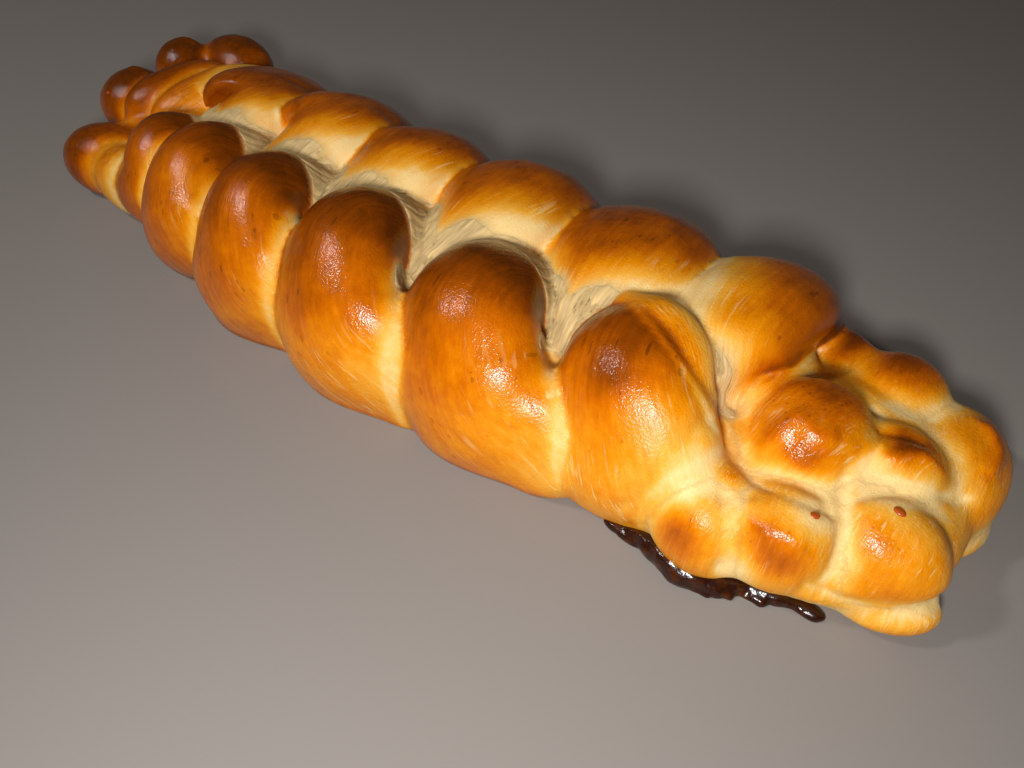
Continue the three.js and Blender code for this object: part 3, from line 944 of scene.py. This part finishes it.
def baking(co, gaps, shares, sides, lifts):
    """How brown each point is, from 0 pale to about 1.2 dark, and how torn it is. Towards the
    small end and over one roll's top the darkening is partly painted shade. Where two strands
    meet, their looks run into each other over about a millimetre."""
    z = co[:, 2]
    weights = np.exp(-(gaps - gaps.min(0)) / 0.45)
    weights /= weights.sum(0)
    browning_and_shade = np.zeros(len(co))
    torn = np.zeros(len(co))
    knob_gap = np.minimum.reduce([gaps[k] for k in BUMPS[:len(BROAD_END_KNOBS)]])
    for k in NEAR:
        share, side = shares[k], sides[k]
        following = gaps[k + 1] if k < LAST_NEAR else knob_gap
        following = following * (1.9 - 0.9 * ease(8, 34, z))
        level = near_level(k, z, share, side, following)
        rip = np.maximum(ease(0.80, 0.83, share), ease(0.0, 0.25, -lifts[k]) * ease(0.5, 0.6, share))
        browning_and_shade += weights[k] * level * (1 - rip)
        torn += weights[k] * rip
    for j, k in enumerate(FAR):
        share = shares[k]
        level = far_level(j, co, share, gaps)
        beside = np.minimum(gaps[min(j + 1, LAST_NEAR)], gaps[j] + 3)
        rip = ease(0.78, 0.84, share) * (1 - ease(6, 12, beside))
        rip = np.maximum(rip, (1 - ease(1, 3.5, beside)) * ease(0.66, 0.74, share))
        browning_and_shade += weights[k] * (level * (1 - rip) + 0.12 * rip)
        torn += weights[k] * rip
    flap = 0.46 + 0.30 * ease(-0.2, 0.8, -sides[FLAP]) - 0.3 * ease(0.35, 0.9, sides[FLAP])
    browning_and_shade += weights[FLAP] * flap
    for k in BUMPS:
        others = np.delete(gaps, k, 0).min(0)
        level = 0.04 + 0.38 * ease(1.0, 7.5, others) + 0.05 * ease(15, 40, z)
        browning_and_shade += weights[k] * level
    for place, radius, change in SPOTS:
        away = np.linalg.norm(co - np.array(place), axis=1)
        browning_and_shade += change * np.exp(-(away / radius) ** 2 * 1.4)
    # browner at the very foot, and darker towards the small end: partly deeper browning, partly painted
    # shade of the dimmer light there
    browning_and_shade += 0.25 * (1 - ease(0.5, 3.5, z)) + 0.42 * ease(128, 165, -co[:, 0])
    torn *= ease(10, 18, z)
    return np.clip(browning_and_shade, 0, 1.25), np.clip(torn, 0, 1)


class LOAF_OT_crust(bpy.types.Operator):
    """Grow the strands and knobs, join them into one skin and give it its crust"""

    bl_idname = "loaf.crust"
    bl_label = "Crust"

    def execute(self, context):
        shape = context.scene.loaf_shape
        looks = context.scene.loaf_looks
        crust = grow_dough("crust", ROUTES, KNOBS + CRUMB, shape.voxel, shape, crust_material(looks))
        cut_flat(crust)
        mesh = crust.data
        co = coordinates(mesh) / MM
        edges = neighbours(mesh)
        gaps, shares, sides, lifts = strand_places(co, shape)
        near_other = np.sort(gaps, 0)[1]

        # creases: sharp between the rolls, filled and soft between the knobs
        above = ease(0.2, 2.0, co[:, 2])
        on_knob = ease(112, 122, co[:, 0]) + ease(128, 140, -co[:, 0])
        weight = 0.5 * above * np.clip(0.35 + on_knob * (1 - ease(1, 9, near_other)), 0, 1)
        flat = co[:, 2] < 0.01
        co = relax(co, edges, weight, 3)
        co = relax(co, edges, 0.5 * above * on_knob * (1 - ease(1, 7, near_other)), 14)

        browning_and_shade, torn = baking(co, gaps, shares, sides, lifts)
        height, tone = folds_at(co)
        browning_and_shade = np.clip(browning_and_shade + tone, 0, 1.25)
        strand = strand_grid(gaps, shares, sides)

        # the uneven swell of the dough, its drawn-out fibres and the folds over it
        move_to(mesh, co * MM)
        out = normals(mesh)
        lumps = noise(co, 17, 1) * 0.6 + noise(co, 8, 2) * 0.3
        fibres = noise(strand * (1, 0.16, 1), 2.2, 3)
        rough = noise(strand * (1, 0.35, 1), 2.0, 4) + 0.6 * noise(co, 1.9, 5)
        depth = shape.lumps / MM * lumps + 0.10 * fibres * (1 - torn) + 0.25 * torn * rough + height
        co = co + out * (depth * above * ~flat)[:, None]
        co[:, 0] -= MIDDLE[0]
        co[:, 1] -= MIDDLE[1]
        co[:, 2] = np.maximum(co[:, 2], 0)
        move_to(mesh, co * MM)
        store(mesh, "browning_and_shade", browning_and_shade)
        store(mesh, "torn", torn)
        store(mesh, "strand", strand * MM)
        fit_inside(crust)
        finish_piece(crust, NODE)
        return {"FINISHED"}


class LOAF_OT_torn_crumb(bpy.types.Operator):
    """Lay the torn, fibrous dough over the valleys where the strands pulled apart"""

    bl_idname = "loaf.torn_crumb"
    bl_label = "Torn crumb"

    def execute(self, context):
        shape = context.scene.loaf_shape
        crust = bpy.data.objects["crust"]
        mesh = crust.data.copy()
        mesh.name = "torn_crumb"
        torn = read_numbers(mesh, "torn")
        sheet = bmesh.new()
        sheet.from_mesh(mesh)
        whole = [f for f in sheet.faces if max(torn[v.index] for v in f.verts) < 0.2]
        bmesh.ops.delete(sheet, geom=whole, context="FACES")
        bmesh.ops.subdivide_edges(sheet, edges=sheet.edges[:], cuts=2, use_grid_fill=True, smooth=0.6)
        bmesh.ops.triangulate(sheet, faces=[f for f in sheet.faces if len(f.verts) > 4])
        sheet.to_mesh(mesh)
        sheet.free()
        piece = link(bpy.data.objects.new("torn_crumb", mesh))
        co = coordinates(mesh) / MM + (*MIDDLE, 0)
        out = normals(mesh)
        torn = read_numbers(mesh, "torn")
        gaps, shares, sides, _ = strand_places(co, shape)
        strand = strand_grid(gaps, shares, sides)
        drawn = noise(strand * (1, 0.16, 1), 1.6, 6)
        lumps = noise(co, 4.5, 8)
        rows = ease(0.15, 0.5, noise(strand * (1, 0.3, 1), 5.0, 10))
        # rows of small holes, dented into the surface; the material also paints shade into them
        holes = ease(0.35, 0.6, noise(strand * (1, 0.6, 1), 1.3, 9)) * rows
        depth = -0.45 + 0.6 * ease(0.3, 0.7, torn + 0.25 * noise(co, 3.0, 11))
        depth += ease(0.35, 0.9, torn) * (0.14 * drawn + 0.25 * lumps - 0.7 * holes)
        co += out * depth[:, None] - (*MIDDLE, 0)
        move_to(mesh, co * MM)
        store(mesh, "hole_shade", holes)
        store(mesh, "strand", strand * MM)
        mesh.materials.clear()
        mesh.materials.append(torn_material(context.scene.loaf_looks))
        finish_piece(piece)
        return {"FINISHED"}


# Where the wash ran down and burnt at the broad end's near foot: x, reach and height.
BURNT_RIM = [
    (102, 0.6, 1.6), (107, 1.2, 3.0), (112, 2.2, 5.0), (119, 3.8, 6.0), (127, 4.6, 5.5),
    (134, 4.0, 4.5), (141, 3.0, 3.6), (149, 2.2, 3.0), (156, 1.6, 2.4), (161, 0.8, 1.6),
]


def foot_line(crust, xs):
    """y of the crust's near foot at each x, in millimetres of the loaf's own frame."""
    co = coordinates(crust.data) / MM + (*MIDDLE, 0)
    low = co[(co[:, 2] < 5) & (co[:, 1] < 0)]
    line = np.array([low[np.abs(low[:, 0] - x) < 2][:, 1].min() for x in xs])
    return np.convolve(np.pad(line, 1, mode="edge"), (0.25, 0.5, 0.25), "valid")


def shifted(obj):
    """Moves a piece from the loaf's own frame to the middle of its footprint."""
    co = coordinates(obj.data) - np.array((*MIDDLE, 0)) * MM
    move_to(obj.data, co)


class LOAF_OT_burnt_wash(bpy.types.Operator):
    """Lay the burnt rim of egg wash along the foot of the broad end"""

    bl_idname = "loaf.burnt_wash"
    bl_label = "Burnt wash"

    def execute(self, context):
        shape = context.scene.loaf_shape
        looks = context.scene.loaf_looks
        xs = np.array([row[0] for row in BURNT_RIM])
        foot = foot_line(bpy.data.objects["crust"], xs)
        points = [(x, y + 1.2, 0.4) for x, y in zip(xs, foot)]
        rim = (points, [row[2] for row in BURNT_RIM], [row[1] for row in BURNT_RIM], [0] * len(xs))
        lumps = []
        for i, x in enumerate(np.linspace(104, 158, 9)):
            size = 1.8 + 0.8 * math.sin(i * 2.4)
            y = np.interp(x, xs, foot) + 1.6 - 0.7 * np.interp(x, xs, [row[1] for row in BURNT_RIM])
            lumps.append(((x + math.sin(i * 5.1), y, 0.5), (size * 2.4, size, size * 0.9), 12 * math.sin(i)))
        piece = grow_dough("burnt_wash", [rim], lumps, 0.55 * MM, shape, burnt_material(looks))
        co = coordinates(piece.data) / MM
        ragged = noise(co, 2.6, 12) * 0.35 + noise(co, 6.0, 13) * 0.7
        co += normals(piece.data) * ragged[:, None]
        move_to(piece.data, co * MM)
        cut_flat(piece)
        shifted(piece)
        fit_inside(piece)
        finish_piece(piece)
        return {"FINISHED"}


# Small brown blisters on the knobs: x, y, half sizes and turn about Z.
BLISTERS = [
    (148, -30, (1.5, 1.0, 0.6), 30), (164, -16, (1.7, 1.2, 0.7), -10), (-184, -20, (1.3, 1.0, 0.6), 0),
]


class LOAF_OT_blisters(bpy.types.Operator):
    """Set the small blisters on the crust"""

    bl_idname = "loaf.blisters"
    bl_label = "Blisters"

    def execute(self, context):
        shape = context.scene.loaf_shape
        looks = context.scene.loaf_looks
        crust = bpy.data.objects["crust"]
        tree = BVHTree.FromObject(crust, context.evaluated_depsgraph_get())
        eggs = []
        for x, y, half, turn in BLISTERS:
            above = Vector((x - MIDDLE[0], y - MIDDLE[1], 100)) * MM
            hit = tree.ray_cast(above, Vector((0, 0, -1)))[0]
            eggs.append(((x, y, hit.z / MM), half, turn))
        piece = grow_dough("blisters", [], eggs, 0.3 * MM, shape, blister_material(looks))
        shifted(piece)
        finish_piece(piece)
        return {"FINISHED"}


# The camera's place and the point on the floor it looks at, in millimetres of the loaf's frame.
VIEW_FROM = (151.1, -153.2, 200)
VIEW_AIM = (45.5, -22.7, 0)

# Lamps, in metres: a small strong one that draws the highlights, and one high on the near left.
KEY_AT = (0.185, -0.255, 0.225)
KEY_AIM = (0.03, 0, 0.02)
KEY_SIZE = 0.055
SOFT_AT = (-0.40, -0.38, 0.72)
SOFT_AIM = (0, 0, 0)
SOFT_SIZE = 0.09
WARM_ROOM = (1.0, 0.84, 0.66, 1)


class LOAF_OT_stage(bpy.types.Operator):
    """Set up the floor, the lights and the camera"""

    bl_idname = "loaf.stage"
    bl_label = "Stage"

    def execute(self, context):
        stage = context.scene.loaf_stage
        bpy.ops.mesh.primitive_plane_add(size=6)
        floor = context.object
        floor.name = "floor"
        material, tree = new_material("floor")
        end_in_shader(tree, {"Base Color": colour(stage.floor), "Roughness": 0.9})
        floor.data.materials.append(material)

        def lamp(name, at, aim, size, power):
            light = bpy.data.lights.new(name, "AREA")
            light.size = size
            light.energy = power
            obj = link(bpy.data.objects.new(name, light))
            obj.location = at
            obj.rotation_euler = (Vector(aim) - Vector(at)).to_track_quat("-Z", "Y").to_euler()

        lamp("key", KEY_AT, KEY_AIM, KEY_SIZE, stage.key)
        lamp("soft", SOFT_AT, SOFT_AIM, SOFT_SIZE, stage.soft)
        world = bpy.data.worlds.new("World")
        world.use_nodes = True
        room = world.node_tree.nodes["Background"]
        room.inputs["Color"].default_value = WARM_ROOM
        room.inputs["Strength"].default_value = stage.fill
        context.scene.world = world
        context.scene.view_settings.view_transform = "Standard"

        camera = link(bpy.data.objects.new("camera", bpy.data.cameras.new("camera")))
        camera.data.lens = stage.lens
        camera.data.clip_start = 0.01
        at = (Vector(VIEW_FROM) - Vector((*MIDDLE, 0))) * MM
        aim = (Vector(VIEW_AIM) - Vector((*MIDDLE, 0))) * MM
        camera.location = at
        camera.rotation_euler = (aim - at).to_track_quat("-Z", "Y").to_euler()
        context.scene.camera = camera
        return {"FINISHED"}


class LOAF_PT_panel(bpy.types.Panel):
    """The loaf's steps in the sidebar"""

    bl_label = "Braided loaf"
    bl_space_type = "VIEW_3D"
    bl_region_type = "UI"
    bl_category = "Loaf"

    def draw(self, context):
        for step in STEPS:
            self.layout.operator(step.bl_idname)
        for group in ("loaf_shape", "loaf_looks", "loaf_stage"):
            box = self.layout.box()
            owner = getattr(context.scene, group)
            for name in owner.__annotations__:
                box.prop(owner, name)


STEPS = (LOAF_OT_crust, LOAF_OT_torn_crumb, LOAF_OT_burnt_wash, LOAF_OT_blisters, LOAF_OT_stage)
GROUPS = {"loaf_shape": LoafShape, "loaf_looks": LoafLooks, "loaf_stage": LoafStage}


def register():
    """Adds the property groups, the operators and the panel."""
    for group, kind in GROUPS.items():
        bpy.utils.register_class(kind)
        setattr(bpy.types.Scene, group, bpy.props.PointerProperty(type=kind))
    for kind in (*STEPS, LOAF_PT_panel):
        bpy.utils.register_class(kind)


def unregister():
    """Takes them away again."""
    for kind in (LOAF_PT_panel, *reversed(STEPS)):
        bpy.utils.unregister_class(kind)
    for group, kind in GROUPS.items():
        delattr(bpy.types.Scene, group)
        bpy.utils.unregister_class(kind)


def main():
    """Makes every piece and the stage."""
    register()
    bpy.ops.loaf.crust()
    bpy.ops.loaf.torn_crumb()
    bpy.ops.loaf.burnt_wash()
    bpy.ops.loaf.blisters()
    bpy.ops.loaf.stage()


if __name__ == "__main__":
    main()
